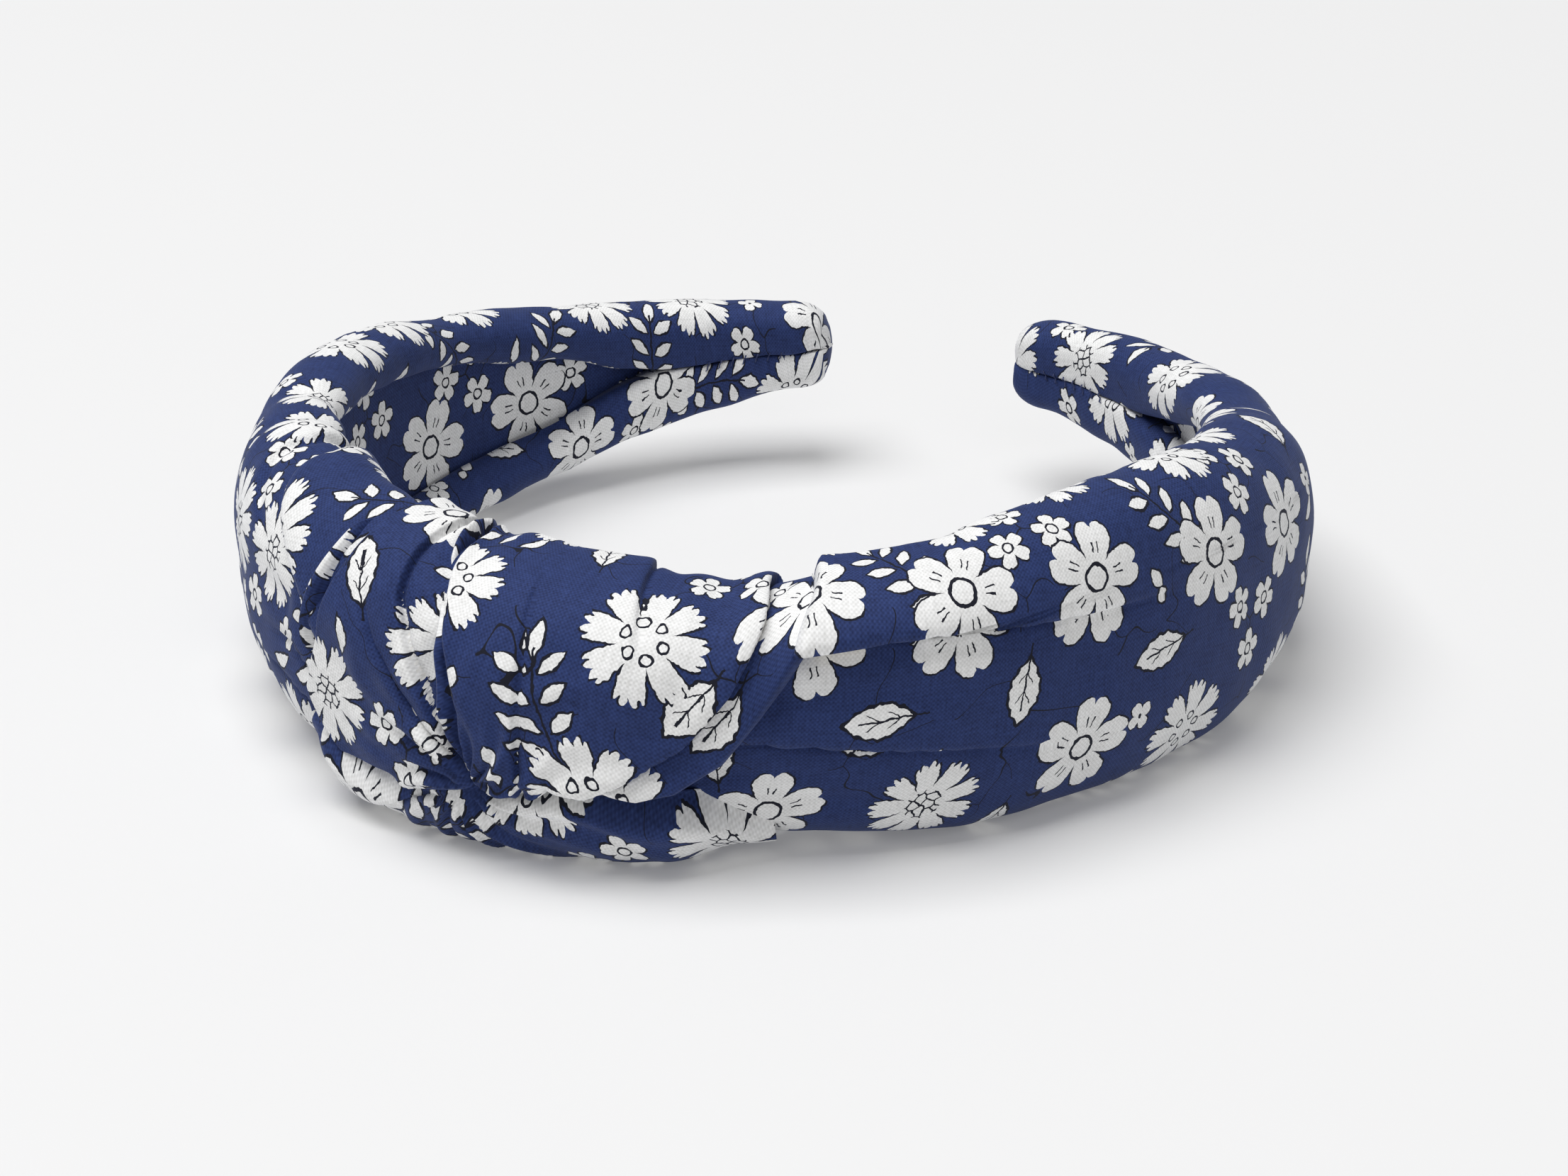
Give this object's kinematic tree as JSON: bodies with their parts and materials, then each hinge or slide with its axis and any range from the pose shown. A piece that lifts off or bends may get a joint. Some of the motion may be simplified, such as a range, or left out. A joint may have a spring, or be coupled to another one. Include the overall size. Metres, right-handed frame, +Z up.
{
  "type": "knotted headband",
  "caption": "Padded U-shaped fabric headband over a moulded plastic hoop, with a wide knot of crossed fabric strands at the crown and tapered closed tips.",
  "frame": {"origin": "under the middle of the band's bounding box, on the surface it lies on", "axes": "the band lies on its side: +Z up across its width, the knot at the crown faces -Y, the tips point towards +Y, and the arm that the knot leans to is on -X"},
  "size_m": [0.1498, 0.1559, 0.0418],
  "materials": {
    "printed_cotton": "navy plain-weave cotton with a printed off-white floral",
    "sponge": "open-cell sponge",
    "wadding": "polyester wadding",
    "hoop_plastic": "moulded, satin",
    "sewing_thread": "twisted polyester thread"
  },
  "bodies": {
    "root": {"hoop_core": "hoop_plastic", "sponge_pad": "sponge", "inner_lining": "printed_cotton", "left_sleeve": "printed_cotton", "right_sleeve": "printed_cotton", "knot_front_wrap": "printed_cotton", "knot_front_wadding": "wadding", "knot_left_wrap": "printed_cotton", "knot_left_wadding": "wadding", "knot_under_strand": "printed_cotton", "left_seam_thread": "sewing_thread", "right_seam_thread": "sewing_thread"}
  },
  "joints": []
}
